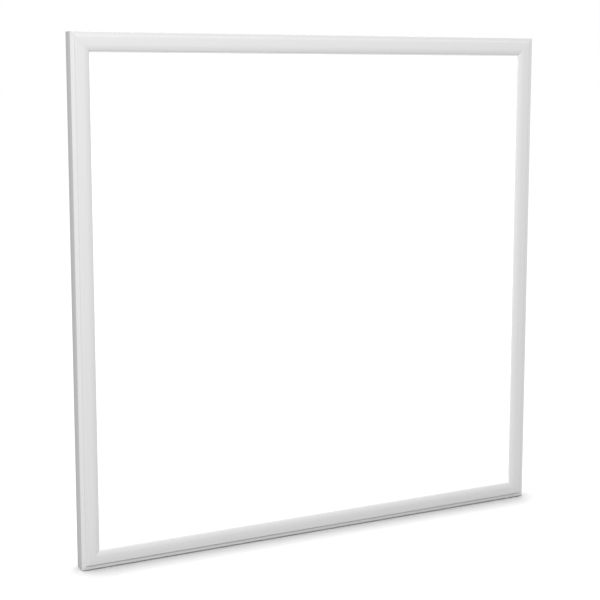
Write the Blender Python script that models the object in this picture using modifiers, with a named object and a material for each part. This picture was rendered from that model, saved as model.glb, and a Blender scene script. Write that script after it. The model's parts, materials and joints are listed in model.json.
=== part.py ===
"""Square edge-lit LED panel light, standing upright with its lit face toward -Y.

The origin is the centre of the plane that the frame's outer lip rests on in a ceiling grid.
Metres, +Z up. W is the distance inward from the panel's outer edge, Y the depth behind the lip.
"""
import bpy
import bmesh
from math import atan, cos, pi, sin
from mathutils import Matrix, Vector

MM = 0.001
GAP = 0.3 * MM                   # clearance between touching pieces

# Driving dimensions
HALF = 297.5 * MM                # half the panel's outer side
RAIL_WIDTH = 20.6 * MM
LIP_WIDTH = 4.2 * MM
BAND_RISE = 2.0 * MM             # the band stands this far in front of the lip
SIDE_DEPTH = 17.0 * MM           # lip to rear rim
WALL = 1.6 * MM
BAND_START = 5.6 * MM
BAND_END = 13.5 * MM
NOSE_START = 19.7 * MM           # where the slope turns into the rounded inner nose
SLOPE_RADIUS = 14.5 * MM
NOSE_BACK = 2.3 * MM             # back of the nose, which the diffuser lies against
NOSE_ROOT = (15.4 * MM, 16.4 * MM)   # W where the nose's back slants up from the band
EDGE_RADIUS = 0.6 * MM
CREST_RADIUS = 0.8 * MM          # at the top of the step between lip and band
STEP_LEAN = atan(0.35)           # the step's wall leans this far from upright
END_CHAMFER = 0.4 * MM
KNEE_W = (5.2 * MM, 6.0 * MM)    # W where the inner wall follows the step
RIB_OUTER = 7.6 * MM             # W of the rib that carries the LED strip
RIB_INNER = 9.0 * MM
LEDGE_INNER = 11.0 * MM
LEDGE_BACK = 15.2 * MM           # plane that the back cover lies on
FLANGE = 1.2 * MM
MITRE_BACK = 0.5 * GAP * 2 ** 0.5

# Optical stack, front to back
DIFFUSER_W = 9.6 * MM
DIFFUSER_Y = (NOSE_BACK + GAP, 4.1 * MM)
GUIDE_SIDE_W = 12.0 * MM
GUIDE_END_W = 10.1 * MM
GUIDE_Y = (4.4 * MM, 7.4 * MM)
FILM_Y = (7.7 * MM, 8.0 * MM)
FOAM_Y = (8.3 * MM, 12.3 * MM)
FOAM_HALF = 279.5 * MM

# LED strips
TAPE_W = (9.3 * MM, 9.6 * MM)
BOARD_W = (9.9 * MM, 10.9 * MM)
BOARD_Y = (4.2 * MM, 10.6 * MM)
BOARD_HALF = 275.0 * MM
TAPE_INSET = 0.3 * MM            # the tape stops short of the board's long edges
TAPE_HALF = 272.0 * MM
LED_COUNT = 48
LED_PITCH = 11.4 * MM
LED_LENGTH = 3.5 * MM
LED_HEIGHT = 0.7 * MM
LED_HALF_WIDTH = 1.3 * MM
LED_SINK = 0.3 * MM              # depth of the package's foot in the board
SPACER_W = (9.3 * MM, 11.7 * MM)
SPACER_Z = (277.0 * MM, 285.0 * MM)
SPACER_BEVEL = 0.4 * MM
EDGE_REFLECTOR_W = (9.4 * MM, 9.8 * MM)
EDGE_REFLECTOR_HALF = 284.0 * MM

# Back cover and its screws
COVER_HALF = 295.5 * MM
COVER_SHEET = 0.6 * MM
COVER_Y = LEDGE_BACK + GAP       # its inner face
COVER_OUT = COVER_Y + COVER_SHEET
FIELD_HALF = 235.0 * MM          # half the side of the pressed field's rim
FIELD_SLOPE = 4.0 * MM
FIELD_DEPTH = 2.4 * MM
SCREW_W = 4.6 * MM               # centre of the rails' screw slot
SCREW_STATIONS = (-265.0 * MM, -90.0 * MM, 90.0 * MM, 265.0 * MM)
SCREW_HOLE_RADIUS = 1.75 * MM
SHANK_RADIUS = 1.4 * MM
HEAD_RADIUS = 2.8 * MM
HEAD_HEIGHT = 1.7 * MM
BACK_SCREW_LENGTH = 8.0 * MM
KEY_W = (1.9 * MM, 7.3 * MM)
KEY_Y = (9.7 * MM, 13.7 * MM)
KEY_LEG = 45.0 * MM

# Threaded inserts for suspension hardware
INSERT_PLACE = 250.0 * MM
INSERT_BORE = 2.0 * MM
INSERT_BODY = 3.0 * MM
INSERT_FLANGE = 5.5 * MM
INSERT_FRONT = 12.9 * MM
INSERT_FLANGE_Y = (COVER_OUT + GAP, COVER_OUT + GAP + 0.8 * MM)

# Wire box on the back, below the top rail
BOX_HALF_X = 38.0 * MM
BOX_Z = (239.0 * MM, 277.0 * MM)
BOX_MID_Z = 258.0 * MM
BOX_WALL = 1.6 * MM
BOX_Y = (COVER_OUT + GAP, 28.7 * MM)
LID_Y = (BOX_Y[1] + GAP, BOX_Y[1] + GAP + 1.6 * MM)
BARREL_RADIUS = 2.2 * MM
BARREL_Z = BOX_Z[1] + 2.9 * MM
BARREL_Y = LID_Y[1] - BARREL_RADIUS
LUG_X = (30.0 * MM, 38.0 * MM)
WEB_REACH = 5.0 * MM             # a lug's web runs this far in front of the pin's axis
WEB_BACK = 0.6 * MM
WEB_ROOT = 0.8 * MM
PIN_RADIUS = 1.0 * MM
PIN_HOLE = 1.3 * MM
TAB_HALF = 8.0 * MM
TAB_REACH = 3.0 * MM
OUTLET_Y = 23.4 * MM
OUTLET_HOLE = 4.3 * MM
OUTLET_BORE = 3.2 * MM
GROMMET_FLANGE = 5.0 * MM
GROMMET_LIP = 1.2 * MM
BOX_SCREWS = ((-31.0 * MM, 246.0 * MM), (31.0 * MM, 270.0 * MM))
BOX_SCREW_LENGTH = 5.5 * MM

# Terminal block in the wire box
BLOCK_HALF_X = 11.0 * MM
BLOCK_Y = (BOX_Y[0] + BOX_WALL + GAP, 27.0 * MM)
BLOCK_Z = (247.0 * MM, 269.0 * MM)
POLE_Z = (253.5 * MM, 262.5 * MM)
BUTTON_HALF = (2.2 * MM, 1.7 * MM)
BUTTON_Y = (24.6 * MM, 27.9 * MM)
POCKET_FLOOR = 23.5 * MM
ENTRY_RADIUS = 1.1 * MM
ENTRY_DEPTH = 3.0 * MM
ENTRY_Y = (21.0 * MM, 24.4 * MM)
SUPPLY_Y = 22.0 * MM
SUPPLY_RADIUS = 1.6 * MM

# Internal leads and the bush that they pass
LEAD_RADIUS = 0.6 * MM
LEAD_LANE_Y = 13.7 * MM
LEAD_PITCH = 2.4 * MM
LEAD_PAD_Y = 9.2 * MM
LEAD_PAD_Z = 262.0 * MM
LEAD_TURN = 35.0 * MM            # a lead leaves its lane this far from the bush
LEAD_DROP = (3.2 * MM, 4.2 * MM, 9.0 * MM)   # steps from the pad back to the lane
LEAD_INTO_BUSH = 1.4 * MM
LEAD_TO_BLOCK = 6.0 * MM
LEAD_IN_BLOCK = 1.5 * MM
BUNDLE_HALF = 0.9 * MM
BUSH_X = -26.0 * MM
BUSH_HOLE = 4.0 * MM
BUSH_NECK = 3.7 * MM
BUSH_FLANGE = 5.2 * MM
BUSH_BORE = 2.6 * MM
BOX_WIRE_HOLE = 3.0 * MM

SIDES = {"left": -1, "right": 1}
CORNERS = {
    "bottom_left": (-1, -1), "bottom_right": (1, -1),
    "top_left": (-1, 1), "top_right": (1, 1),
}
FACING_BACK = (-pi / 2, 0.0, 0.0)    # turns a piece's own +Z to +Y

for old in list(bpy.data.objects):
    bpy.data.objects.remove(old)


def collection(name):
    made = bpy.data.collections.new(name)
    bpy.context.scene.collection.children.link(made)
    return made


PARTS = collection("led_panel_light")
CUTTERS = collection("cutters")


def material(name, color, roughness, metallic=0.0, alpha=1.0):
    made = bpy.data.materials.new(name)
    made.use_nodes = True
    shader = made.node_tree.nodes["Principled BSDF"]
    shader.inputs["Base Color"].default_value = (*color, 1.0)
    shader.inputs["Roughness"].default_value = roughness
    shader.inputs["Metallic"].default_value = metallic
    shader.inputs["Alpha"].default_value = alpha
    return made


PAINT = material("satin_white_paint", (0.80, 0.80, 0.80), 0.45)
OPAL = material("opal_acrylic", (0.95, 0.95, 0.95), 0.5)
CLEAR = material("clear_acrylic", (0.90, 0.95, 0.95), 0.1, alpha=0.4)
FILM = material("white_film", (0.92, 0.92, 0.92), 0.4)
FOAM = material("white_foam", (0.85, 0.85, 0.83), 0.9)
BOARD = material("white_circuit_board", (0.88, 0.88, 0.84), 0.35)
TAPE = material("thermal_tape", (0.55, 0.58, 0.62), 0.8)
SILICONE = material("silicone", (0.75, 0.75, 0.75), 0.6)
STEEL = material("zinc_steel", (0.62, 0.62, 0.60), 0.35, metallic=1.0)
SHEET = material("painted_steel", (0.78, 0.78, 0.77), 0.5)
BRASS = material("plated_brass", (0.70, 0.66, 0.52), 0.3, metallic=1.0)
PLASTIC = material("white_plastic", (0.82, 0.82, 0.80), 0.4)
NYLON = material("grey_nylon", (0.35, 0.36, 0.38), 0.5)
ORANGE = material("orange_plastic", (0.85, 0.33, 0.06), 0.4)
RUBBER = material("grey_rubber", (0.16, 0.16, 0.17), 0.8)
RED = material("red_insulation", (0.65, 0.05, 0.04), 0.45)
BLACK = material("black_insulation", (0.03, 0.03, 0.03), 0.45)


# Building blocks

def place(name, data, skin, location=(0.0, 0.0, 0.0), rotation=(0.0, 0.0, 0.0)):
    made = bpy.data.objects.new(name, data)
    made.location = location
    made.rotation_euler = rotation
    if not data.materials:
        data.materials.append(skin)
    PARTS.objects.link(made)
    return made


def mesh_from(name, bm):
    bmesh.ops.recalc_face_normals(bm, faces=bm.faces)
    data = bpy.data.meshes.new(name)
    bm.to_mesh(data)
    bm.free()
    return data


def add_block(bm, low, high):
    """Adds a box between two corners to a bmesh."""
    low, high = Vector(low), Vector(high)
    size = high - low
    matrix = Matrix.Translation((low + high) / 2) @ Matrix.Diagonal((*size, 1.0))
    return bmesh.ops.create_cube(bm, size=1.0, matrix=matrix)["verts"]


def block_mesh(name, low, high, bevel=0.0, segments=1):
    bm = bmesh.new()
    add_block(bm, low, high)
    if bevel:
        bmesh.ops.bevel(bm, geom=bm.edges[:], offset=bevel, segments=segments,
                        affect="EDGES", profile=0.5, material=-1)
    return mesh_from(name, bm)


def prism_mesh(name, outline, near, far):
    """Extrudes an outline of (x, z) points along Y."""
    bm = bmesh.new()
    face = bm.faces.new([bm.verts.new((x, near, z)) for x, z in outline])
    grown = bmesh.ops.extrude_face_region(bm, geom=[face])["geom"]
    moved = [item for item in grown if isinstance(item, bmesh.types.BMVert)]
    bmesh.ops.translate(bm, verts=moved, vec=(0.0, far - near, 0.0))
    return mesh_from(name, bm)


def baked_mesh(name, source):
    """The source object's evaluated mesh, after which the source is removed."""
    bpy.context.view_layer.update()
    graph = bpy.context.evaluated_depsgraph_get()
    data = bpy.data.meshes.new_from_object(source.evaluated_get(graph))
    data.name = name
    bpy.data.objects.remove(source)
    return data


def turned_mesh(name, profile, steps, closed=False):
    """Turns a profile of (radius, height) points about Z."""
    edges = [(i, i + 1) for i in range(len(profile) - 1)]
    if closed:
        edges.append((len(profile) - 1, 0))
    data = bpy.data.meshes.new(name + "_profile")
    data.from_pydata([(r, 0.0, z) for r, z in profile], edges, [])
    source = bpy.data.objects.new(name + "_profile", data)
    CUTTERS.objects.link(source)
    screw = source.modifiers.new("turn", "SCREW")
    screw.steps = screw.render_steps = steps
    screw.use_merge_vertices = True
    screw.merge_threshold = 0.00001
    screw.use_normal_calculate = True
    made = baked_mesh(name, source)
    bm = bmesh.new()
    bm.from_mesh(made)
    bmesh.ops.remove_doubles(bm, verts=bm.verts, dist=0.00001)
    bmesh.ops.recalc_face_normals(bm, faces=bm.faces)
    bm.to_mesh(made)
    bm.free()
    return made


def cutter(name, bm):
    made = bpy.data.objects.new(name, mesh_from(name, bm))
    made.hide_render = True
    made.display_type = "WIRE"
    CUTTERS.objects.link(made)
    return made


def combine(target, name, bm, operation="DIFFERENCE"):
    """Cuts the bmesh's bodies from the target, or joins them to it."""
    modifier = target.modifiers.new(name, "BOOLEAN")
    modifier.object = cutter(name, bm)
    modifier.operation = operation
    modifier.solver = "EXACT"


def add_rod(bm, centre, radius, length, axis, segments=16):
    """Adds a cylinder along X, Y or Z to a bmesh."""
    turn = {"X": Matrix.Rotation(pi / 2, 4, "Y"), "Y": Matrix.Rotation(pi / 2, 4, "X"),
            "Z": Matrix.Identity(4)}[axis]
    bmesh.ops.create_cone(bm, cap_ends=True, segments=segments, radius1=radius, radius2=radius,
                          depth=length, matrix=Matrix.Translation(centre) @ turn)


def arc(centre, radius, start, end, steps):
    """Points on an arc, from one angle to another."""
    turns = [start + (end - start) * i / steps for i in range(steps + 1)]
    return [(centre[0] + radius * cos(a), centre[1] + radius * sin(a)) for a in turns]


# Frame

def rail_section():
    """The extrusion's outline as (W, Y): the face first, then the walls behind it."""
    slope = (NOSE_START - BAND_END) / SLOPE_RADIUS
    slope_end_y = SLOPE_RADIUS * (1 - cos(slope)) - BAND_RISE
    nose = RAIL_WIDTH - NOSE_START
    nose_radius = nose / (1 - sin(slope))
    nose_centre = (RAIL_WIDTH - nose_radius, slope_end_y + nose_radius * cos(slope))
    inner = -BAND_RISE + WALL         # inner side of the band
    flange_y = LEDGE_BACK - FLANGE
    points = arc((EDGE_RADIUS, EDGE_RADIUS), EDGE_RADIUS, pi, 1.5 * pi, 3)
    points += [(LIP_WIDTH, 0.0)]
    crest = (BAND_START, CREST_RADIUS - BAND_RISE)
    points += arc(crest, CREST_RADIUS, pi + STEP_LEAN, 1.5 * pi, 4)
    points += arc((BAND_END, SLOPE_RADIUS - BAND_RISE), SLOPE_RADIUS, -pi / 2, slope - pi / 2, 6)
    points += arc(nose_centre, nose_radius, slope - pi / 2, 0.0, 5)[1:]
    points += [(RAIL_WIDTH, NOSE_BACK - END_CHAMFER), (RAIL_WIDTH - END_CHAMFER, NOSE_BACK)]
    points += [(NOSE_ROOT[1], NOSE_BACK), (NOSE_ROOT[0], inner), (RIB_INNER, inner)]
    points += [(RIB_INNER, LEDGE_BACK - WALL), (LEDGE_INNER, LEDGE_BACK - WALL)]
    points += [(LEDGE_INNER, LEDGE_BACK), (RIB_OUTER - FLANGE, LEDGE_BACK)]
    points += [(RIB_OUTER - FLANGE, flange_y), (RIB_OUTER, flange_y), (RIB_OUTER, inner)]
    points += [(KNEE_W[1], inner), (KNEE_W[0], WALL), (WALL, WALL), (WALL, flange_y)]
    points += [(WALL + FLANGE, flange_y), (WALL + FLANGE, LEDGE_BACK), (WALL, LEDGE_BACK)]
    points += [(WALL, SIDE_DEPTH), (END_CHAMFER, SIDE_DEPTH), (0.0, SIDE_DEPTH - END_CHAMFER)]
    return points


def rail_mesh():
    """The bottom rail: the section drawn along X, and each end cut back by its own W."""
    bm = bmesh.new()
    section = [bm.verts.new((-1.0, y, w - HALF)) for w, y in rail_section()]
    grown = bmesh.ops.extrude_face_region(bm, geom=[bm.faces.new(section)])["geom"]
    moved = [item for item in grown if isinstance(item, bmesh.types.BMVert)]
    bmesh.ops.translate(bm, verts=moved, vec=(2.0, 0.0, 0.0))
    for vert in bm.verts:
        vert.co.x *= -vert.co.z - MITRE_BACK
    return mesh_from("frame_rail", bm)


def build_frame():
    data = rail_mesh()
    for turns, side in enumerate(("bottom", "left", "top", "right")):
        place("frame_rail_" + side, data, PAINT, rotation=(0.0, turns * pi / 2, 0.0))


def corner_key(name, sx, sz):
    near, far = HALF - KEY_W[0], HALF - KEY_W[1]
    end = near - KEY_LEG
    nib = 0.8 * MM
    outline = [(near - nib, near), (near, near - nib), (near, end), (far, end), (far, far),
               (end, far), (end, near)]
    key = place(name, prism_mesh(name, [(sx * x, sz * z) for x, z in outline], *KEY_Y), STEEL)
    holes = bmesh.new()
    along, across, middle = SCREW_STATIONS[-1], HALF - SCREW_W, sum(KEY_Y) / 2
    for x, z in ((along, across), (across, along)):
        add_rod(holes, (sx * x, middle, sz * z), SCREW_HOLE_RADIUS, 2 * (KEY_Y[1] - KEY_Y[0]), "Y", 12)
    combine(key, name + "_holes", holes)


# Optical stack

def sheet(name, half_x, half_z, depth, skin, bevel=0.0):
    low = (-half_x, depth[0], -half_z)
    high = (half_x, depth[1], half_z)
    place(name, block_mesh(name, low, high, bevel), skin)


def build_optics():
    face = HALF - DIFFUSER_W
    guide = (HALF - GUIDE_SIDE_W, HALF - GUIDE_END_W)
    sheet("diffuser_plate", face, face, DIFFUSER_Y, OPAL, 0.2 * MM)
    sheet("light_guide_plate", *guide, GUIDE_Y, CLEAR)
    sheet("reflector_film", guide[0] - 0.5 * MM, guide[1] - 0.4 * MM, FILM_Y, FILM)
    sheet("foam_pad", FOAM_HALF, FOAM_HALF, FOAM_Y, FOAM)
    for name, sz in (("top", 1), ("bottom", -1)):
        z = sorted(sz * (HALF - w) for w in EDGE_REFLECTOR_W)
        low = (-EDGE_REFLECTOR_HALF, GUIDE_Y[0], z[0])
        high = (EDGE_REFLECTOR_HALF, GUIDE_Y[1], z[1])
        place("edge_reflector_" + name, block_mesh(name, low, high), FILM)


def span(side, depths):
    """A pair of W distances as low and high X on the left or right side."""
    return sorted(side * (HALF - w) for w in depths)


def led_strip(name, side):
    x = span(side, BOARD_W)
    board = block_mesh(name, (x[0], BOARD_Y[0], -BOARD_HALF), (x[1], BOARD_Y[1], BOARD_HALF))
    strip = place(name, board, BOARD)
    leds = bmesh.new()
    lens = span(side, (BOARD_W[1] - LED_SINK, BOARD_W[1] + LED_HEIGHT))
    middle = sum(GUIDE_Y) / 2
    for i in range(LED_COUNT):
        z = (i - (LED_COUNT - 1) / 2) * LED_PITCH
        low = (lens[0], middle - LED_HALF_WIDTH, z - LED_LENGTH / 2)
        high = (lens[1], middle + LED_HALF_WIDTH, z + LED_LENGTH / 2)
        add_block(leds, low, high)
    combine(strip, name + "_leds", leds, "UNION")


def build_strips():
    for word, side in SIDES.items():
        led_strip("led_strip_" + word, side)
        x = span(side, TAPE_W)
        low = (x[0], BOARD_Y[0] + TAPE_INSET, -TAPE_HALF)
        high = (x[1], BOARD_Y[1] - TAPE_INSET, TAPE_HALF)
        tape = block_mesh("thermal_tape", low, high)
        place("thermal_tape_" + word, tape, TAPE)
    for word, (sx, sz) in CORNERS.items():
        x = span(sx, SPACER_W)
        z = sorted(sz * end for end in SPACER_Z)
        low, high = (x[0], GUIDE_Y[0], z[0]), (x[1], GUIDE_Y[1], z[1])
        spacer = block_mesh("guide_spacer", low, high, SPACER_BEVEL)
        place("guide_spacer_" + word, spacer, SILICONE)


# Back cover and fasteners

def screw_places():
    across = HALF - SCREW_W
    places = []
    for along in SCREW_STATIONS:
        places += [(along, across), (along, -across), (across, along), (-across, along)]
    return places


def screw_mesh(name, length):
    """A pan head screw along Z with its head's underside at 0, and a cross recess in the head."""
    dome = 0.9 * MM
    tip = 0.8 * MM
    profile = [(0.0, HEAD_HEIGHT), (1.6 * MM, HEAD_HEIGHT - 0.15 * MM)]
    profile += [(2.5 * MM, HEAD_HEIGHT - 0.7 * MM), (HEAD_RADIUS, dome - 0.4 * MM), (HEAD_RADIUS, 0.0)]
    profile += [(SHANK_RADIUS, 0.0), (SHANK_RADIUS, tip - length), (0.5 * MM, -length), (0.0, -length)]
    head = bpy.data.objects.new(name, turned_mesh(name, profile, 14))
    CUTTERS.objects.link(head)
    long, short, depth = 1.5 * MM, 0.4 * MM, 1.1 * MM
    cross = bmesh.new()
    outline = [(long, short), (short, short), (short, long), (-short, long), (-short, short),
               (-long, short), (-long, -short), (-short, -short), (-short, -long),
               (short, -long), (short, -short), (long, -short)]
    face = cross.faces.new([cross.verts.new((x, y, HEAD_HEIGHT - depth)) for x, y in outline])
    grown = bmesh.ops.extrude_face_region(cross, geom=[face])["geom"]
    rim = [item for item in grown if isinstance(item, bmesh.types.BMVert)]
    bmesh.ops.translate(cross, verts=rim, vec=(0.0, 0.0, 2 * depth))
    combine(head, name + "_recess", cross)
    return baked_mesh(name, head)


def build_cover():
    bm = bmesh.new()
    corners = ((-1, -1), (1, -1), (1, 1), (-1, 1))
    edge = [bm.verts.new((sx * COVER_HALF, COVER_Y, sz * COVER_HALF)) for sx, sz in corners]
    face = bm.faces.new(edge)
    for thickness in (COVER_HALF - FIELD_HALF, FIELD_SLOPE):
        bm.normal_update()
        bmesh.ops.inset_region(bm, faces=[face], thickness=thickness, use_boundary=True,
                               use_even_offset=True)
    bmesh.ops.translate(bm, verts=face.verts, vec=(0.0, -FIELD_DEPTH, 0.0))
    grown = bmesh.ops.extrude_face_region(bm, geom=bm.faces[:])["geom"]
    outer = [item for item in grown if isinstance(item, bmesh.types.BMVert)]
    bmesh.ops.translate(bm, verts=outer, vec=(0.0, COVER_SHEET, 0.0))
    cover = place("back_cover", mesh_from("back_cover", bm), SHEET)
    holes = bmesh.new()
    middle = COVER_Y + COVER_SHEET / 2
    for x, z in list(screw_places()) + list(BOX_SCREWS):
        add_rod(holes, (x, middle, z), SCREW_HOLE_RADIUS, 4 * MM, "Y", 12)
    for sx, sz in CORNERS.values():
        centre = (sx * INSERT_PLACE, middle, sz * INSERT_PLACE)
        add_rod(holes, centre, INSERT_BODY + GAP, 4 * MM, "Y")
    add_rod(holes, (BUSH_X, middle, BOX_MID_Z), BUSH_HOLE, 4 * MM, "Y")
    combine(cover, "back_cover_holes", holes)


def build_fasteners():
    screw = screw_mesh("back_screw", BACK_SCREW_LENGTH)
    for number, (x, z) in enumerate(screw_places(), 1):
        place(f"back_screw_{number:02d}", screw, STEEL, (x, COVER_OUT + GAP, z), FACING_BACK)
    front, back = INSERT_FRONT, INSERT_FLANGE_Y[1]
    shoulder = INSERT_FLANGE_Y[0]
    profile = [(INSERT_BORE, back), (INSERT_FLANGE, back), (INSERT_FLANGE, shoulder),
               (INSERT_BODY, shoulder), (INSERT_BODY, front), (INSERT_BORE, front)]
    insert = turned_mesh("hanger_insert", profile, 20, closed=True)
    for word, (sx, sz) in CORNERS.items():
        centre = (sx * INSERT_PLACE, 0.0, sz * INSERT_PLACE)
        place("hanger_insert_" + word, insert, BRASS, centre, FACING_BACK)
        corner_key("corner_key_" + word, sx, sz)


# Wire box

def box_tray():
    """The open tray: its outside, cut hollow from the back."""
    outside = block_mesh("wire_box_base", (-BOX_HALF_X, BOX_Y[0], BOX_Z[0]),
                         (BOX_HALF_X, BOX_Y[1], BOX_Z[1]))
    base = place("wire_box_base", outside, PLASTIC)
    hollow = bmesh.new()
    add_block(hollow, (BOX_WALL - BOX_HALF_X, BOX_Y[0] + BOX_WALL, BOX_Z[0] + BOX_WALL),
              (BOX_HALF_X - BOX_WALL, BOX_Y[1] + BOX_WALL, BOX_Z[1] - BOX_WALL))
    combine(base, "box_hollow", hollow)
    return base


def build_box_base():
    base = box_tray()
    root_z = BOX_Z[1] - WEB_ROOT
    for number, side in enumerate((-1, 1)):
        lug = bmesh.new()
        x = sorted(side * edge for edge in LUG_X)
        centre = (sum(x) / 2, BARREL_Y, BARREL_Z)
        add_rod(lug, centre, BARREL_RADIUS, x[1] - x[0], "X")
        combine(base, f"barrel_{number}", lug, "UNION")
        web = bmesh.new()
        add_block(web, (x[0], BARREL_Y - WEB_REACH, root_z), (x[1], BARREL_Y - WEB_BACK, BARREL_Z))
        combine(base, f"web_{number}", web, "UNION")
    holes = bmesh.new()
    add_rod(holes, (0.0, BARREL_Y, BARREL_Z), PIN_HOLE, 4 * BOX_HALF_X, "X")
    floor = BOX_Y[0] + BOX_WALL / 2
    for x, z in BOX_SCREWS:
        add_rod(holes, (x, floor, z), SCREW_HOLE_RADIUS, 2 * BOX_WALL, "Y", 12)
    add_rod(holes, (BUSH_X, floor, BOX_MID_Z), BOX_WIRE_HOLE, 2 * BOX_WALL, "Y")
    add_rod(holes, (BOX_HALF_X, OUTLET_Y, BOX_MID_Z), OUTLET_HOLE, 4 * BOX_WALL, "X")
    combine(base, "box_holes", holes)


def build_lid():
    """The lid hangs from its pin: its own origin is on the pin's axis."""
    bm = bmesh.new()
    add_block(bm, (-BOX_HALF_X, LID_Y[0] - BARREL_Y, BOX_Z[0] - BARREL_Z),
              (BOX_HALF_X, LID_Y[1] - BARREL_Y, BOX_Z[1] - BARREL_Z))
    lid = place("wire_box_lid", mesh_from("wire_box_lid", bm), PLASTIC,
                (0.0, BARREL_Y, BARREL_Z))
    inner_x = LUG_X[0] - GAP
    tab = bmesh.new()
    add_block(tab, (-TAB_HALF, LID_Y[0] + 0.2 * MM, BOX_Z[0] - TAB_REACH),
              (TAB_HALF, LID_Y[1] - 0.2 * MM, BOX_Z[0] + 1 * MM))
    leaf_front = LID_Y[0] + 0.1 * MM
    add_block(tab, (-inner_x, leaf_front, BOX_Z[1] - 1 * MM), (inner_x, LID_Y[1], BARREL_Z))
    combine(lid, "tab_and_leaf", tab, "UNION")
    barrel = bmesh.new()
    add_rod(barrel, (0.0, BARREL_Y, BARREL_Z), BARREL_RADIUS, 2 * inner_x, "X")
    combine(lid, "lid_barrel", barrel, "UNION")
    bore = bmesh.new()
    add_rod(bore, (0.0, BARREL_Y, BARREL_Z), PIN_HOLE, 4 * BOX_HALF_X, "X")
    combine(lid, "lid_bore", bore)


def build_hinge_pin():
    end = 0.3 * MM
    reach = BOX_HALF_X - 0.2 * MM
    profile = [(0.0, reach), (PIN_RADIUS - end, reach), (PIN_RADIUS, reach - end),
               (PIN_RADIUS, end - reach), (PIN_RADIUS - end, -reach), (0.0, -reach)]
    pin = turned_mesh("lid_hinge_pin", profile, 12)
    place("lid_hinge_pin", pin, STEEL, (0.0, BARREL_Y, BARREL_Z), (0.0, pi / 2, 0.0))


def build_terminal():
    body = block_mesh("terminal_block", (-BLOCK_HALF_X, BLOCK_Y[0], BLOCK_Z[0]),
                      (BLOCK_HALF_X, BLOCK_Y[1], BLOCK_Z[1]), 0.4 * MM)
    block = place("terminal_block", body, NYLON)
    holes = bmesh.new()
    for z in POLE_Z:
        for y in ENTRY_Y:
            add_rod(holes, (-BLOCK_HALF_X, y, z), ENTRY_RADIUS, 2 * ENTRY_DEPTH, "X", 12)
        add_rod(holes, (BLOCK_HALF_X, SUPPLY_Y, z), SUPPLY_RADIUS, 2 * ENTRY_DEPTH, "X", 12)
        half_x, half_z = (half + GAP for half in BUTTON_HALF)
        add_block(holes, (-half_x, POCKET_FLOOR, z - half_z), (half_x, BLOCK_Y[1] + 1 * MM, z + half_z))
    combine(block, "terminal_holes", holes)
    for word, z in zip(("negative", "positive"), POLE_Z):
        low = (-BUTTON_HALF[0], BUTTON_Y[0], -BUTTON_HALF[1])
        high = (BUTTON_HALF[0], BUTTON_Y[1], BUTTON_HALF[1])
        button = block_mesh("terminal_button", low, high, 0.3 * MM)
        place("terminal_button_" + word, button, ORANGE, (0.0, 0.0, z))


def ring(name, profile, skin, location, rotation, steps=16):
    place(name, turned_mesh(name, profile, steps, closed=True), skin, location, rotation)


def build_rubber():
    """The outlet grommet snaps round the box's wall; the bush sits in the cover from inside."""
    inner = BOX_HALF_X - BOX_WALL - GAP
    outer = BOX_HALF_X + GAP
    neck = OUTLET_HOLE - GAP
    profile = [(OUTLET_BORE, outer + GROMMET_LIP), (GROMMET_FLANGE, outer + GROMMET_LIP),
               (GROMMET_FLANGE, outer), (neck, outer), (neck, inner), (GROMMET_FLANGE, inner),
               (GROMMET_FLANGE, inner - GROMMET_LIP), (OUTLET_BORE, inner - GROMMET_LIP)]
    ring("outlet_grommet", profile, RUBBER, (0.0, OUTLET_Y, BOX_MID_Z), (0.0, pi / 2, 0.0))
    front, seat = COVER_Y - GAP - 0.6 * MM, COVER_Y - GAP
    profile = [(BUSH_BORE, COVER_OUT), (BUSH_NECK, COVER_OUT), (BUSH_NECK, seat),
               (BUSH_FLANGE, seat), (BUSH_FLANGE, front), (BUSH_BORE, front)]
    ring("wire_bush", profile, RUBBER, (BUSH_X, 0.0, BOX_MID_Z), FACING_BACK)


def build_wire_box():
    build_box_base()
    build_lid()
    build_hinge_pin()
    build_terminal()
    build_rubber()
    screw = screw_mesh("wire_box_screw", BOX_SCREW_LENGTH)
    seat = BOX_Y[0] + BOX_WALL + GAP
    for number, (x, z) in enumerate(BOX_SCREWS, 1):
        place(f"wire_box_screw_{number}", screw, STEEL, (x, seat, z), FACING_BACK)


# Leads

def rounded_route(points, rounds=2):
    """Cuts each corner of a route twice, so that it bends smoothly."""
    route = [Vector(point) for point in points]
    for _ in range(rounds):
        cut = [route[0]]
        for a, b in zip(route, route[1:]):
            cut += [a.lerp(b, 0.25), a.lerp(b, 0.75)]
        route = cut + [route[-1]]
    return route


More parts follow.
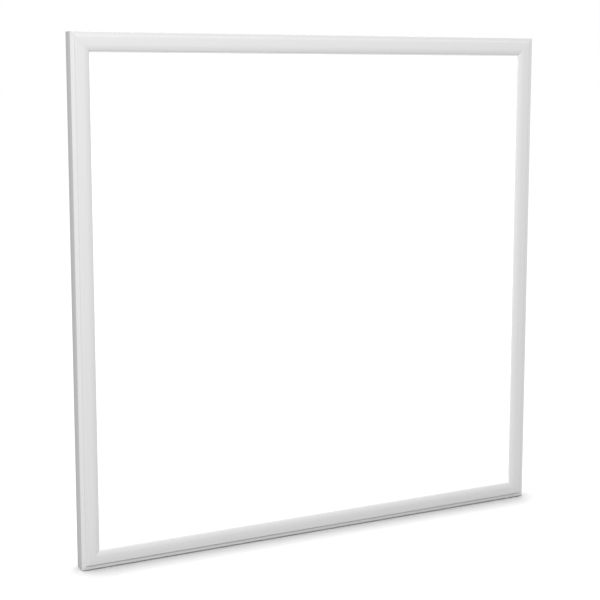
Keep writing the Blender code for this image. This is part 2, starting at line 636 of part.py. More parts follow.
def lead(name, side, pole, skin):
    """One wire from a strip's solder pad, through the bush, to its terminal."""
    lane_z = LEAD_PAD_Z + pole * LEAD_PITCH
    pad_x = side * (HALF - BOARD_W[1] - GAP)
    bush_x = BUSH_X + side * BUNDLE_HALF
    bush_z = BOX_MID_Z + (2 * pole - 1) * BUNDLE_HALF
    turn_x = bush_x + side * LEAD_TURN
    entry_y = ENTRY_Y[1] if side < 0 else ENTRY_Y[0]
    route = [
        (pad_x, LEAD_PAD_Y, lane_z),
        (pad_x - side * LEAD_DROP[0], LEAD_PAD_Y, lane_z),
        (pad_x - side * LEAD_DROP[1], LEAD_LANE_Y, lane_z),
        (pad_x - side * LEAD_DROP[2], LEAD_LANE_Y, lane_z),
        (turn_x, LEAD_LANE_Y, lane_z),
        (bush_x + side * LEAD_INTO_BUSH, LEAD_LANE_Y, bush_z),
        (bush_x, LEAD_LANE_Y, bush_z),
        (bush_x, (LEAD_LANE_Y + entry_y) / 2, bush_z),
        (bush_x, entry_y, bush_z),
        (-BLOCK_HALF_X - LEAD_TO_BLOCK, entry_y, POLE_Z[pole]),
        (-BLOCK_HALF_X + LEAD_IN_BLOCK, entry_y, POLE_Z[pole]),
    ]
    points = rounded_route(route)
    data = bpy.data.curves.new(name, "CURVE")
    data.dimensions = "3D"
    data.bevel_depth = LEAD_RADIUS
    data.bevel_resolution = 1
    data.use_fill_caps = True
    spline = data.splines.new("POLY")
    spline.points.add(len(points) - 1)
    for point, co in zip(spline.points, points):
        point.co = (*co, 1.0)
    place(name, data, skin)


def build_leads():
    for word, side in SIDES.items():
        lead(f"lead_{word}_negative", side, 0, BLACK)
        lead(f"lead_{word}_positive", side, 1, RED)


build_frame()
build_optics()
build_strips()
build_cover()
build_fasteners()
build_wire_box()
build_leads()
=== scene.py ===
"""Looks of a square LED panel light: finer rails, cover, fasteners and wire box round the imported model."""
import json
import math

import bmesh
import bpy
from mathutils import Matrix, Vector


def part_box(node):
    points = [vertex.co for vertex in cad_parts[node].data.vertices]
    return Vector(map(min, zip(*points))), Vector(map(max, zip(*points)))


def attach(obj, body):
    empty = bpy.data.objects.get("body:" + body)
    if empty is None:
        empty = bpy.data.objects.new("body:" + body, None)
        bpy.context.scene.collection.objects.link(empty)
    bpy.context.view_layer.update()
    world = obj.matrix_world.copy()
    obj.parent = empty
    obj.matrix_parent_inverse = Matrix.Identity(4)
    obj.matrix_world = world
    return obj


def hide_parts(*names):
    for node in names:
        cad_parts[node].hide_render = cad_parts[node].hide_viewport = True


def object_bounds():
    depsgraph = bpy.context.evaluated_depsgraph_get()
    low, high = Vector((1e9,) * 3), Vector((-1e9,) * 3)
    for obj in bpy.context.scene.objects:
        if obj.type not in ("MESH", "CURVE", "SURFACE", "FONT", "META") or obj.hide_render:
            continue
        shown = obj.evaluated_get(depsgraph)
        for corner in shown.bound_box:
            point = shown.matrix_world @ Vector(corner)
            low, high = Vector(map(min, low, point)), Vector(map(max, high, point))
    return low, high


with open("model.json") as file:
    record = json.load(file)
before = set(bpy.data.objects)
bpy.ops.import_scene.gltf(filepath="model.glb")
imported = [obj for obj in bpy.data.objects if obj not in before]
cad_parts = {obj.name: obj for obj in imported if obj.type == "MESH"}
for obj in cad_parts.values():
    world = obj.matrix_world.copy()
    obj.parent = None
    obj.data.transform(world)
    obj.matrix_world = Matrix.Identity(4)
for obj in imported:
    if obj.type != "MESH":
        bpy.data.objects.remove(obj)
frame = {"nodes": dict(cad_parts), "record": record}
CAD_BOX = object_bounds()
NODES = frame["nodes"]
MM = 0.001

# The panel's size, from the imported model
LOW, HIGH = CAD_BOX
HALF = HIGH.x
FRONT = LOW.y
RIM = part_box("frame_rail_left")[1].y
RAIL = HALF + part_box("frame_rail_left")[1].x
CORNERS = ("bottom_left", "bottom_right", "top_left", "top_right")
BACK = Vector((0.0, 1.0, 0.0))
CENTRE = (0.0, 0.0, 0.0)
SAME_PLACE = 0.01 * MM


# Camera

CAMERA_PLACE = (-0.6714, -1.3310, 0.2493)
CAMERA_YAW = -25.826
CAMERA_PITCH = -7.299
CAMERA_LENS = 76.32
CAMERA_SHIFT = -0.10


def add_camera():
    data = bpy.data.cameras.new("camera")
    data.lens = CAMERA_LENS
    data.sensor_width = 36.0
    data.shift_y = CAMERA_SHIFT
    camera = bpy.data.objects.new("camera", data)
    camera.location = CAMERA_PLACE
    camera.rotation_euler = (math.radians(90 + CAMERA_PITCH), 0.0, math.radians(CAMERA_YAW))
    bpy.context.scene.collection.objects.link(camera)
    bpy.context.scene.camera = camera


add_camera()


# Materials

class Finish:
    """A Principled material whose grain is read from Object coordinates."""

    def __init__(self, name, color, roughness, metallic=0.0):
        self.material = bpy.data.materials.new(name)
        self.material.use_nodes = True
        self.nodes = self.material.node_tree.nodes
        self.links = self.material.node_tree.links
        self.shader = self.nodes["Principled BSDF"]
        self.color = color
        self.put("Base Color", (*color, 1.0))
        self.put("Roughness", roughness)
        self.put("Metallic", metallic)
        self.place = self.nodes.new("ShaderNodeTexCoord").outputs["Object"]

    def put(self, socket, value):
        self.shader.inputs[socket].default_value = value
        return self

    def noise(self, scale, stretch=(1.0, 1.0, 1.0), detail=3.0, rough=0.5):
        """Noise with cells of 1 / scale metres, stretched along the axes with a small factor."""
        mapping = self.nodes.new("ShaderNodeMapping")
        mapping.inputs["Scale"].default_value = stretch
        self.links.new(self.place, mapping.inputs["Vector"])
        texture = self.nodes.new("ShaderNodeTexNoise")
        texture.inputs["Scale"].default_value = scale
        texture.inputs["Detail"].default_value = detail
        texture.inputs["Roughness"].default_value = rough
        self.links.new(mapping.outputs["Vector"], texture.inputs["Vector"])
        return texture.outputs["Fac"]

    def ranged(self, value, low, high):
        """Spreads the middle of a noise, where nearly all its values are, from low to high."""
        span = self.nodes.new("ShaderNodeMapRange")
        limits = {"From Min": 0.3, "From Max": 0.7, "To Min": low, "To Max": high}
        for socket, number in limits.items():
            span.inputs[socket].default_value = number
        self.links.new(value, span.inputs["Value"])
        return span.outputs["Result"]

    def tones(self, value, low, high):
        """Varies the colour's brightness between two factors."""
        mix = self.nodes.new("ShaderNodeMix")
        mix.data_type = "RGBA"
        for socket, factor in (("A", low), ("B", high)):
            chosen = [s for s in mix.inputs if s.name == socket and s.type == "RGBA"][0]
            chosen.default_value = (*(min(1.0, channel * factor) for channel in self.color), 1.0)
        self.links.new(self.ranged(value, 0.0, 1.0), mix.inputs["Factor"])
        result = [s for s in mix.outputs if s.type == "RGBA"][0]
        self.links.new(result, self.shader.inputs["Base Color"])
        return self

    def gloss(self, value, low, high):
        """Varies the roughness between two values."""
        self.links.new(self.ranged(value, low, high), self.shader.inputs["Roughness"])
        return self

    def relief(self, value, depth, strength):
        """Raises the surface by up to depth metres, on top of any relief it already has."""
        bump = self.nodes.new("ShaderNodeBump")
        bump.inputs["Distance"].default_value = depth
        bump.inputs["Strength"].default_value = strength
        self.links.new(value, bump.inputs["Height"])
        normal = self.shader.inputs["Normal"]
        if normal.is_linked:
            self.links.new(normal.links[0].from_socket, bump.inputs["Normal"])
        self.links.new(bump.outputs["Normal"], normal)
        return self


def rail_paint(name, stretch):
    """Satin powder coat over an extrusion: soft orange peel, and faint lines along the rail."""
    made = Finish(name, (0.80, 0.80, 0.80), 0.44)
    lines = made.noise(900.0, stretch, detail=2.0)
    made.tones(lines, 0.985, 1.01)
    made.gloss(made.noise(160.0, stretch), 0.40, 0.48)
    made.relief(made.noise(1600.0, detail=2.0), 0.010 * MM, 0.5)
    made.relief(lines, 0.006 * MM, 0.4)
    return made.put("Coat Weight", 0.06).put("Coat Roughness", 0.3).material


def opal_plate():
    """Lit opal acrylic with a fine matt surface."""
    made = Finish("opal_acrylic", (0.93, 0.93, 0.93), 0.42)
    made.gloss(made.noise(2500.0), 0.38, 0.48)
    made.relief(made.noise(2200.0, detail=1.0), 0.006 * MM, 0.4)
    made.put("Emission Color", (1.0, 1.0, 1.0, 1.0)).put("Emission Strength", 0.28)
    return made.put("Coat Weight", 0.1).material


def clear_plate():
    """Clear acrylic with a very faint waviness."""
    made = Finish("clear_acrylic", (0.93, 0.97, 0.97), 0.06)
    made.relief(made.noise(400.0, detail=1.0), 0.01 * MM, 0.3)
    return made.put("Transmission Weight", 0.9).put("IOR", 1.49).material


def metal(name, color, roughness):
    """Plated metal with a fine uneven lustre and light scratches."""
    grain = 700.0
    made = Finish(name, color, roughness, 1.0)
    made.tones(made.noise(grain, detail=4.0), 0.88, 1.06)
    made.gloss(made.noise(grain * 1.7, (1.0, 1.0, 0.2)), roughness - 0.08, roughness + 0.12)
    return made.relief(made.noise(grain * 3.0, (0.3, 1.0, 1.0)), 0.008 * MM, 0.4).material


def sheet_paint():
    """White coil-coated steel: broad faint roller tone and a fine pebbled film."""
    made = Finish("painted_sheet", (0.74, 0.74, 0.73), 0.42)
    made.tones(made.noise(9.0, (1.0, 1.0, 0.25), detail=4.0), 0.965, 1.02)
    made.gloss(made.noise(70.0, (1.0, 1.0, 0.1)), 0.36, 0.50)
    made.relief(made.noise(1100.0, detail=2.0), 0.02 * MM, 0.5)
    return made.material


def moulded(name, color, roughness, grain=1500.0, depth=0.02):
    """Moulded plastic or rubber with a spark-eroded grain."""
    made = Finish(name, color, roughness)
    made.tones(made.noise(45.0, detail=1.0), 0.975, 1.02)
    made.gloss(made.noise(500.0), roughness - 0.05, roughness + 0.07)
    return made.relief(made.noise(grain, detail=3.0, rough=0.6), depth * MM, 0.6).material


def foam():
    """Expanded foam: closed cells with dimples."""
    made = Finish("white_foam", (0.86, 0.86, 0.84), 0.9)
    cells = made.nodes.new("ShaderNodeTexVoronoi")
    cells.inputs["Scale"].default_value = 450.0
    made.links.new(made.place, cells.inputs["Vector"])
    made.relief(cells.outputs["Distance"], 0.3 * MM, 0.7)
    return made.tones(made.noise(40.0), 0.94, 1.03).put("Sheen Weight", 0.2).material


def white_film():
    """Smooth reflective film that lies a little unevenly."""
    made = Finish("white_film", (0.93, 0.93, 0.93), 0.35)
    made.gloss(made.noise(30.0), 0.3, 0.42)
    return made.relief(made.noise(12.0), 0.2 * MM, 0.2).material


def circuit_board():
    """White solder mask with a faint weave under it."""
    made = Finish("circuit_board", (0.88, 0.88, 0.84), 0.3)
    weave = made.nodes.new("ShaderNodeTexWave")
    weave.inputs["Scale"].default_value = 320.0
    weave.bands_direction = "Z"
    made.links.new(made.place, weave.inputs["Vector"])
    made.relief(weave.outputs["Fac"], 0.01 * MM, 0.3)
    return made.tones(made.noise(200.0), 0.96, 1.02).put("Coat Weight", 0.3).material


LONG_X = (0.004, 1.0, 1.0)
LONG_Z = (1.0, 1.0, 0.004)
PAINT_X = rail_paint("satin_white_paint_across", LONG_X)
PAINT_Z = rail_paint("satin_white_paint_upright", LONG_Z)
FINISHES = {
    "opal_acrylic": opal_plate(),
    "clear_acrylic": clear_plate(),
    "white_film": white_film(),
    "white_foam": foam(),
    "circuit_board": circuit_board(),
    "thermal_tape": moulded("thermal_tape", (0.55, 0.58, 0.62), 0.8),
    "silicone": moulded("silicone", (0.75, 0.75, 0.75), 0.55),
    "zinc_steel": metal("zinc_steel", (0.68, 0.68, 0.66), 0.30),
    "painted_sheet": sheet_paint(),
    "plated_brass": metal("plated_brass", (0.80, 0.77, 0.66), 0.26),
    "white_plastic": moulded("white_plastic", (0.80, 0.80, 0.78), 0.42),
    "grey_nylon": moulded("grey_nylon", (0.30, 0.31, 0.33), 0.45),
    "orange_plastic": moulded("orange_plastic", (0.85, 0.30, 0.05), 0.38),
    "grey_rubber": moulded("grey_rubber", (0.10, 0.10, 0.105), 0.75, 900.0, 0.04),
    "red_insulation": moulded("red_insulation", (0.62, 0.05, 0.04), 0.4),
    "black_insulation": moulded("black_insulation", (0.03, 0.03, 0.032), 0.4),
}
SLOT_OF = {entry["node"]: entry["material_slot"] for entry in frame["record"]["subparts"]}
BODY_OF = {node: body for body, nodes in frame["record"]["behaviour"]["bodies"].items() for node in nodes}


# Making and placing pieces

def show(name, bm, node, skin=None, sharp=35.0):
    """Makes a piece from a bmesh, in the place and on the body of the CAD node that it replaces."""
    data = bpy.data.meshes.new(name)
    bm.to_mesh(data)
    bm.free()
    data.shade_smooth()
    data.set_sharp_from_angle(angle=math.radians(sharp))
    piece = bpy.data.objects.new(name, data)
    bpy.context.scene.collection.objects.link(piece)
    data.materials.append(skin or FINISHES[SLOT_OF[node]])
    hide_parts(node)
    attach(piece, BODY_OF[node])
    return piece


def round_edges(bm, edges, width, segments):
    """Rounds the given edges with an arc of that many segments."""
    if edges:
        bmesh.ops.bevel(bm, geom=edges, offset=width, segments=segments, affect="EDGES", profile=0.5,
                        material=-1, offset_type="OFFSET", clamp_overlap=True)


def outline_prism(bm, outline, length):
    """Draws a closed outline of points and extrudes it along X, centred."""
    face = bm.faces.new([bm.verts.new((-length / 2, y, z)) for y, z in outline])
    grown = bmesh.ops.extrude_face_region(bm, geom=[face])["geom"]
    moved = [item for item in grown if isinstance(item, bmesh.types.BMVert)]
    bmesh.ops.translate(bm, verts=moved, vec=(length, 0.0, 0.0))


def copy_of(node):
    """A CAD node's mesh with its triangles joined and its flat faces whole."""
    bm = bmesh.new()
    bm.from_mesh(NODES[node].data)
    bmesh.ops.remove_doubles(bm, verts=bm.verts, dist=SAME_PLACE)
    bmesh.ops.dissolve_limit(bm, angle_limit=math.radians(0.5), verts=bm.verts, edges=bm.edges)
    return bm


def crisp_edges(bm, angle=40.0):
    """The edges that turn by more than an angle in degrees."""
    return [edge for edge in bm.edges if len(edge.link_faces) == 2
            and edge.calc_face_angle() > math.radians(angle)]


def turn_about(bm, axis, quarters):
    """Turns a mesh about an axis through the origin by a number of quarter turns."""
    bmesh.ops.rotate(bm, cent=CENTRE, matrix=Matrix.Rotation(quarters * math.pi / 2, 3, axis),
                     verts=bm.verts)


# Frame rails: W runs in from the outer side wall, Y runs back from the lip's plane

LIP = 4.2 * MM
BAND_END = 13.5 * MM
NOSE_START = 19.7 * MM
SLOPE_RADIUS = 14.5 * MM
WALL = 1.6 * MM
SLOPE_STEPS = 12
NOSE_BACK = 2.3 * MM
NOSE_ROOT = (15.4 * MM, 16.4 * MM)
STEP_ROOT = (5.2 * MM, 6.0 * MM)
LEDGE_BACK = 15.2 * MM
RIB = (7.6 * MM, 9.0 * MM)
LEDGE_INNER = 11.0 * MM
FLANGE = 1.2 * MM
STEP_TOP = 5.05 * MM
NOSE_FRONT = -0.285 * MM
MITRE_GAP = 0.03 * MM
# Each (Y, W) edge along the rail that is rounded, with its radius and segments
ROUNDED = (
    ([(0.0, 0.0)], 0.55 * MM, 5),
    ([(FRONT, STEP_TOP)], 0.55 * MM, 6),
    ([(0.0, LIP)], 0.15 * MM, 3),
    ([(NOSE_FRONT, RAIL)], 1.0 * MM, 8),
    ([(NOSE_BACK, RAIL)], 0.35 * MM, 4),
    ([(RIM, 0.0), (RIM, WALL)], 0.3 * MM, 3),
)


def rail_outline():
    """Corners of the extrusion as (Y, W): its face from the side wall in, then the walls behind."""
    turn = (NOSE_START - BAND_END) / SLOPE_RADIUS
    slope = []
    for i in range(1, SLOPE_STEPS + 1):
        angle = turn * i / SLOPE_STEPS
        slope.append((FRONT + SLOPE_RADIUS * (1 - math.cos(angle)),
                      BAND_END + SLOPE_RADIUS * math.sin(angle)))
    inner = FRONT + WALL
    flange = LEDGE_BACK - FLANGE
    face = [(0.0, 0.0), (0.0, LIP), (FRONT, STEP_TOP), (FRONT, BAND_END), *slope]
    nose = [(NOSE_FRONT, RAIL), (NOSE_BACK, RAIL), (NOSE_BACK, NOSE_ROOT[1])]
    walls = [(inner, NOSE_ROOT[0]), (inner, RIB[1]), (LEDGE_BACK - WALL, RIB[1]),
             (LEDGE_BACK - WALL, LEDGE_INNER), (LEDGE_BACK, LEDGE_INNER), (LEDGE_BACK, RIB[0] - FLANGE),
             (flange, RIB[0] - FLANGE), (flange, RIB[0]), (inner, RIB[0]), (inner, STEP_ROOT[1]),
             (WALL, STEP_ROOT[0]), (WALL, WALL), (flange, WALL), (flange, WALL + FLANGE),
             (LEDGE_BACK, WALL + FLANGE), (LEDGE_BACK, WALL), (RIM, WALL), (RIM, 0.0)]
    return face + nose + walls


def long_edges(bm, places):
    """The edges along the rail at each (Y, W) place."""
    found = []
    for edge in bm.edges:
        a, b = (vert.co for vert in edge.verts)
        if abs(a.y - b.y) + abs(a.z - b.z) > 1e-6:
            continue
        if any(abs(a.y - y) + abs(a.z - w) < 1e-5 for y, w in places):
            found.append(edge)
    return found


def rail(side, turns, skin):
    """One rail: a prism from -1 to 1 along X, stretched out to its mitres and turned into place."""
    bm = bmesh.new()
    outline_prism(bm, rail_outline(), 2.0)
    bmesh.ops.recalc_face_normals(bm, faces=bm.faces)
    for places, radius, segments in ROUNDED:
        round_edges(bm, long_edges(bm, places), radius, segments)
    for vert in bm.verts:
        vert.co.x *= HALF - vert.co.z - MITRE_GAP
        vert.co.z -= HALF
    turn_about(bm, "Y", turns)
    show("rail_" + side, bm, "frame_rail_" + side, skin, sharp=30.0)


def build_rails():
    skins = (PAINT_X, PAINT_Z)
    for turns, side in enumerate(("bottom", "left", "top", "right")):
        rail(side, turns, skins[turns % 2])


# Back cover

FIELD_FOLDS = (231.0 * MM, 235.0 * MM)
NEAR_FOLD = 0.5 * MM
BEND = 1.8 * MM


def build_cover():
    """The pressed cover: the field's folds become soft bends."""
    bm = copy_of("back_cover")

    def on_fold(vert):
        reach = max(abs(vert.co.x), abs(vert.co.z))
        return any(abs(reach - fold) < NEAR_FOLD for fold in FIELD_FOLDS)

    folds = [edge for edge in crisp_edges(bm, 15.0) if all(on_fold(vert) for vert in edge.verts)]
    round_edges(bm, folds, BEND, 5)
    show("pressed_cover", bm, "back_cover", sharp=40.0)


# Fasteners

def spun(profile, steps):
    """Turns a profile of (radius, height) points about Z into a closed solid."""
    bm = bmesh.new()
    verts = [bm.verts.new((r, 0.0, z)) for r, z in profile]
    edges = [bm.edges.new(pair) for pair in zip(verts, verts[1:])]
    bmesh.ops.spin(bm, geom=verts + edges, cent=CENTRE, axis=(0.0, 0.0, 1.0),
                   angle=2 * math.pi, steps=steps, use_merge=True)
    bmesh.ops.remove_doubles(bm, verts=bm.verts, dist=SAME_PLACE / 2)
    bmesh.ops.recalc_face_normals(bm, faces=bm.faces)
    return bm


def arc_points(centre, radius, start, end, steps):
    """Points on an arc from a start to an end angle in degrees."""
    angles = [math.radians(start + (end - start) * i / steps) for i in range(steps + 1)]
    return [(centre[0] + radius * math.cos(a), centre[1] + radius * math.sin(a)) for a in angles]


HEAD_RADIUS = 2.8 * MM
HEAD_HEIGHT = 1.7 * MM
HEAD_RIM = 0.35 * MM
# The head's dome as (radius, drop from the head's height)
DOME = ((1.9 * MM, 0.0), (2.35 * MM, 0.22 * MM), (2.65 * MM, 0.55 * MM), (HEAD_RADIUS, 0.95 * MM))
CROWN = 0.12 * MM
SHANK = 1.4 * MM
TIP_RADIUS = 0.6 * MM
TIP_LENGTH = 0.8 * MM
CROSS_REACH = 1.45 * MM
CROSS_HALF = 0.36 * MM
CROSS_CORNER = 1.25
CROSS_DEPTH = 1.2 * MM
CROSS_TAPER = 0.55
SCREW_STEPS = 28
SCREW_SHORT = 1.9 * MM


def screw(name, node, length):
    """A pan head screw: domed head, shank, and a tapered cross recess."""
    dome = [(radius, HEAD_HEIGHT - drop) for radius, drop in DOME]
    corner = (HEAD_RADIUS - HEAD_RIM, HEAD_RIM)
    side = [(HEAD_RADIUS, HEAD_RIM), *arc_points(corner, HEAD_RIM, 0, -90, 4)]
    stem = [(SHANK, 0.0), (SHANK, TIP_LENGTH - length), (TIP_RADIUS, -length), (0.0, -length)]
    bm = spun(dome + side + stem, SCREW_STEPS)
    top = [edge for edge in bm.edges if edge.is_boundary]
    inner = CROSS_HALF * CROSS_CORNER
    quarter = [(CROSS_REACH, CROSS_HALF), (inner, inner), (CROSS_HALF, CROSS_REACH)]
    outline = []
    for turn in range(4):
        spin = Matrix.Rotation(turn * math.pi / 2, 3, "Z")
        outline += [spin @ Vector((x, y, HEAD_HEIGHT + CROWN)) for x, y in quarter]
    mouth = bm.faces.new([bm.verts.new(point) for point in outline])
    bmesh.ops.bridge_loops(bm, edges=top + mouth.edges[:])
    grown = bmesh.ops.extrude_face_region(bm, geom=[mouth])["geom"]
    floor = [item for item in grown if isinstance(item, bmesh.types.BMVert)]
    bmesh.ops.scale(bm, verts=floor, vec=(CROSS_TAPER, CROSS_TAPER, 1.0))
    bmesh.ops.translate(bm, verts=floor, vec=(0.0, 0.0, -CROSS_DEPTH))
    bmesh.ops.delete(bm, geom=[mouth], context="FACES_ONLY")
    bmesh.ops.recalc_face_normals(bm, faces=bm.faces)
    place_turned(bm, node)
    show(name, bm, node, sharp=32.0)


def place_turned(bm, node):
    """Turns a piece's own +Z to +Y, with its +Z end at the back of the node's box."""
    low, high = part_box(node)
    turn_about(bm, "X", -1)
    top = max(vert.co.y for vert in bm.verts)
    centre = (low + high) / 2
    bmesh.ops.translate(bm, verts=bm.verts, vec=(centre.x, high.y - top, centre.z))


def build_screws():
    """A pan head screw in place of each plain one, with its shank just short of the plain one's end."""
    for node in sorted(NODES):
        if node.startswith(("back_screw_", "wire_box_screw_")):
            low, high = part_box(node)
            screw("pan_" + node, node, high.y - low.y - SCREW_SHORT)


def insert(node):
    """A flanged brass insert with a tapped bore."""
    low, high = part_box(node)
    depth, flange, bore, body = high.y - low.y, 5.5 * MM, 2.0 * MM, 3.0 * MM
    rim, pitch, thread = 0.2 * MM, 0.5 * MM, 0.16 * MM
    seat = depth - 0.8 * MM
    profile = [(bore + rim, depth), (flange - rim, depth),
               *arc_points((flange - rim, depth - rim), rim, 90, 0, 3),
               (flange, seat), (body, seat), (body, rim), (body - rim, 0.0),
               (bore + rim, 0.0), (bore, rim)]
    for i in range(int((depth - 2 * rim) / pitch)):
        z = rim + i * pitch
        profile += [(bore + thread, z + pitch / 2), (bore, z + pitch)]
    bm = spun(profile + [profile[0]], 32)
    place_turned(bm, node)
    show("threaded_" + node, bm, node, sharp=30.0)


# Wire box

def rounded_ring(name, node, profile, turn, width):
    """Spins a closed outline, rounds its corners, turns it and centres it in the node's box."""
    bm = spun(profile + [profile[0]], 36)
    round_edges(bm, crisp_edges(bm, 50.0), width, 3)
    turn_about(bm, *turn)
    low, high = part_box(node)
    spread = [Vector([pick(vert.co[i] for vert in bm.verts) for i in range(3)]) for pick in (min, max)]
    bmesh.ops.translate(bm, verts=bm.verts, vec=(low + high - spread[0] - spread[1]) / 2)
    show(name, bm, node)


def build_rubber():
    """The outlet grommet, with a lip on each side of its wall, and the cover's bush."""
    bore, flange, neck, lip, wall = 3.2 * MM, 5.0 * MM, 4.0 * MM, 1.2 * MM, 2.2 * MM
    profile = [(bore, 0.0), (flange, 0.0), (flange, lip), (neck, lip), (neck, lip + wall),
               (flange, lip + wall), (flange, 2 * lip + wall), (bore, 2 * lip + wall)]
    rounded_ring("ribbed_grommet", "outlet_grommet", profile, ("Y", 1), 0.25 * MM)
    low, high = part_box("wire_bush")
    bore, flange, neck, lip, depth = 2.6 * MM, 5.2 * MM, 3.7 * MM, 0.6 * MM, high.y - low.y
    profile = [(bore, 0.0), (flange, 0.0), (flange, lip), (neck, lip), (neck, depth), (bore, depth)]
    rounded_ring("snap_bush", "wire_bush", profile, ("X", -1), 0.12 * MM)


def build_pin():
    """The hinge pin, with rounded ends."""
    low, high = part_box("lid_hinge_pin")
    reach, radius, end = (high.x - low.x) / 2, (high.z - low.z) / 2, 0.35 * MM
    profile = [(0.0, reach), *arc_points((radius - end, reach - end), end, 90, 0, 4),
               *arc_points((radius - end, end - reach), end, 0, -90, 4), (0.0, -reach)]
    bm = spun(profile, 24)
    turn_about(bm, "Y", 1)
    bmesh.ops.translate(bm, verts=bm.verts, vec=(low + high) / 2)
    show("round_hinge_pin", bm, "lid_hinge_pin")


def build_leads():
    """The leads, smoothed into round wires."""
    for side in ("left", "right"):
        for pole in ("negative", "positive"):
            node = f"lead_{side}_{pole}"
            bm = bmesh.new()
            bm.from_mesh(NODES[node].data)
            bmesh.ops.remove_doubles(bm, verts=bm.verts, dist=SAME_PLACE)
            wire = show("round_" + node, bm, node, sharp=60.0)
            smooth = wire.modifiers.new("round", "SUBSURF")
            smooth.levels = smooth.render_levels = 1


def middle_of(face):
    return face.calc_center_median()


def back_faces(bm, below=None):
    """The faces that look back, or only those whose middle is below a height."""
    return [face for face in bm.faces if face.normal.dot(BACK) > 0.95
            and (below is None or middle_of(face).z < below)]


def largest(faces):
    return max(faces, key=lambda face: face.calc_area())


def sink(bm, face, margin, depth):
    """Presses a panel into a face, with a short sloping wall round it."""
    bmesh.ops.inset_individual(bm, faces=[face], thickness=margin, use_even_offset=True)
    bmesh.ops.inset_individual(bm, faces=[face], thickness=depth, depth=-depth, use_even_offset=True)


def cut_level(bm, geom, height):
    """Cuts faces along a level line."""
    bmesh.ops.bisect_plane(bm, geom=geom, dist=1e-7, plane_co=(0.0, 0.0, height), plane_no=(0.0, 0.0, 1.0))


TAB_HEIGHT = 3.0 * MM
TAB_CUTS = (0.8 * MM, 1.3 * MM, 1.8 * MM, 2.3 * MM)
TAB_RIBS = (1.05 * MM, 2.05 * MM)
NEAR_RIB = 0.1 * MM


def build_lid():
    """The lid, with a sunk panel and finger ribs on its tab."""
    bm = copy_of("wire_box_lid")
    round_edges(bm, crisp_edges(bm), 0.4 * MM, 3)
    bm.normal_update()
    sink(bm, largest(back_faces(bm)), 3.2 * MM, 0.35 * MM)
    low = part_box("wire_box_lid")[0].z
    tab_top = low + TAB_HEIGHT
    strips = [largest(back_faces(bm, tab_top))]
    for cut in TAB_CUTS:
        parts = dict.fromkeys(part for face in strips for part in (*face.edges, *face.verts))
        cut_level(bm, [*strips, *parts], low + cut)
        strips = back_faces(bm, tab_top)
    ribs = [face for face in strips
            if any(abs(middle_of(face).z - low - rib) < NEAR_RIB for rib in TAB_RIBS)]
    bmesh.ops.inset_individual(bm, faces=ribs, thickness=0.12 * MM, depth=0.18 * MM)
    show("sunk_panel_lid", bm, "wire_box_lid")


def build_terminal():
    """The block, grooved between its poles, and buttons with a driver's recess."""
    bm = copy_of("terminal_block")
    round_edges(bm, crisp_edges(bm), 0.2 * MM, 2)
    low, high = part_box("terminal_block")
    middle, half = (low.z + high.z) / 2, 0.35 * MM
    for height in (middle - half, middle + half):
        cut_level(bm, bm.verts[:] + bm.edges[:] + bm.faces[:], height)
    bm.normal_update()
    strip = [face for face in bm.faces if abs(middle_of(face).z - middle) < half
             and face.normal.y > -0.5]
    bmesh.ops.inset_region(bm, faces=strip, thickness=0.1 * MM, depth=-0.4 * MM, use_even_offset=True,
                           use_boundary=True)
    show("two_pole_terminal", bm, "terminal_block")
    for pole in ("negative", "positive"):
        node = "terminal_button_" + pole
        bm = copy_of(node)
        round_edges(bm, crisp_edges(bm, 20.0), 0.12 * MM, 2)
        bm.normal_update()
        sink(bm, largest(back_faces(bm)), 0.45 * MM, 0.3 * MM)
        show("recessed_" + node, bm, node)


def build_base():
    """The wire box's base, with its edges softened."""
    bm = copy_of("wire_box_base")
    round_edges(bm, crisp_edges(bm), 0.35 * MM, 3)
    show("wire_box_base_soft", bm, "wire_box_base")


def build_wire_box():
    build_base()
    build_lid()
    build_terminal()
    build_pin()
    build_rubber()
    build_leads()


def dress_nodes():
    """Gives every CAD node that stays its finish."""
    for node, piece in NODES.items():
        skin = FINISHES.get(SLOT_OF[node])
        if skin:
            piece.data.materials.clear()
            piece.data.materials.append(skin)


# Floor and light

FLOOR_SEEN = (0.31, 0.31, 0.31)
FLOOR_BOUNCE = (0.125, 0.125, 0.125, 1.0)
WORLD_LIGHT = 0.45
KEY_POWER = 71.0
BACK_POWER = 56.0
OVERHEAD = 9.0
OVERHEAD_SPREAD = 7.5
OVERHEAD_TILT = 1.0
FLOOR_SIZE = 40.0
FLOOR_GAP = 0.2 * MM
KEY_PLACE = (-1.18, -2.52, 1.95)
BACK_PLACE = (0.9, 2.2, 1.6)


def add_floor():
    """A pale floor, seen white, that throws back only part of the light."""
    bm = bmesh.new()
    bmesh.ops.create_grid(bm, x_segments=2, y_segments=2, size=FLOOR_SIZE)
    bmesh.ops.translate(bm, verts=bm.verts, vec=(0.0, 0.0, LOW.z - FLOOR_GAP))
    data = bpy.data.meshes.new("studio_floor")
    bm.to_mesh(data)
    bm.free()
    floor = bpy.data.objects.new("studio_floor", data)
    bpy.context.scene.collection.objects.link(floor)
    made = Finish("studio_floor", FLOOR_SEEN, 0.8)
    made.tones(made.noise(2.0), 0.99, 1.0)
    made.put("Specular IOR Level", 0.0)
    dull = made.nodes.new("ShaderNodeBsdfDiffuse")
    dull.inputs["Color"].default_value = FLOOR_BOUNCE
    seen_by_camera(made.nodes, made.links, dull.outputs["BSDF"], made.shader.outputs["BSDF"],
                   made.nodes["Material Output"].inputs["Surface"])
    data.materials.append(made.material)
    return floor


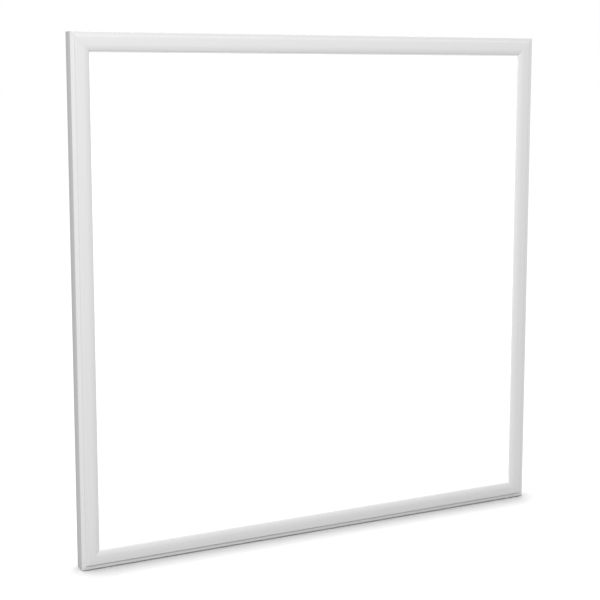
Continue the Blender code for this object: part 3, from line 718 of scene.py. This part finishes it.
def seen_by_camera(nodes, links, lit, seen, output):
    """Joins one shader that is seen and another that lights the object."""
    mix = nodes.new("ShaderNodeMixShader")
    links.new(nodes.new("ShaderNodeLightPath").outputs["Is Camera Ray"], mix.inputs["Fac"])
    links.new(lit, mix.inputs[1])
    links.new(seen, mix.inputs[2])
    links.new(mix.outputs["Shader"], output)


def area_light(name, place, size, power):
    """A square light that faces the panel's centre."""
    data = bpy.data.lights.new(name, "AREA")
    data.shape = "RECTANGLE"
    data.size = data.size_y = size
    data.energy = power
    light = bpy.data.objects.new(name, data)
    light.location = place
    light.rotation_euler = (-Vector(place)).to_track_quat("-Z", "Y").to_euler()
    bpy.context.scene.collection.objects.link(light)
    return light


def link_floor(light, floor, state):
    """Lets a light reach the floor alone, or everything but the floor."""
    linked = bpy.data.collections.new(light.name + "_floor")
    linked.objects.link(floor)
    linked.collection_objects[0].light_linking.link_state = state
    light.light_linking.receiver_collection = linked


def light_floor(floor):
    """A light from almost straight above that whitens the floor alone; the panel still shades it."""
    data = bpy.data.lights.new("overhead", "SUN")
    data.angle = math.radians(OVERHEAD_SPREAD)
    data.energy = OVERHEAD
    light = bpy.data.objects.new("overhead", data)
    light.rotation_euler = (math.radians(-OVERHEAD_TILT), 0.0, 0.0)
    bpy.context.scene.collection.objects.link(light)
    link_floor(light, floor, "INCLUDE")


def add_world():
    """A white surround, whose light on the object is softer than its own white."""
    world = bpy.data.worlds.new("studio")
    world.use_nodes = True
    nodes, links = world.node_tree.nodes, world.node_tree.links
    seen = nodes["Background"]
    lit = nodes.new("ShaderNodeBackground")
    for background, strength in ((seen, 1.0), (lit, WORLD_LIGHT)):
        background.inputs["Color"].default_value = (1.0, 1.0, 1.0, 1.0)
        background.inputs["Strength"].default_value = strength
    seen_by_camera(nodes, links, lit.outputs["Background"], seen.outputs["Background"],
                   nodes["World Output"].inputs["Surface"])
    bpy.context.scene.world = world


def add_studio():
    add_world()
    floor = add_floor()
    light_floor(floor)
    area_light("key", KEY_PLACE, 1.0, KEY_POWER)
    back = area_light("back_fill", BACK_PLACE, 1.5, BACK_POWER)
    link_floor(back, floor, "EXCLUDE")
    bpy.context.scene.view_settings.view_transform = "Standard"


dress_nodes()
build_rails()
build_cover()
build_screws()
for corner in CORNERS:
    insert("hanger_insert_" + corner)
build_wire_box()
add_studio()
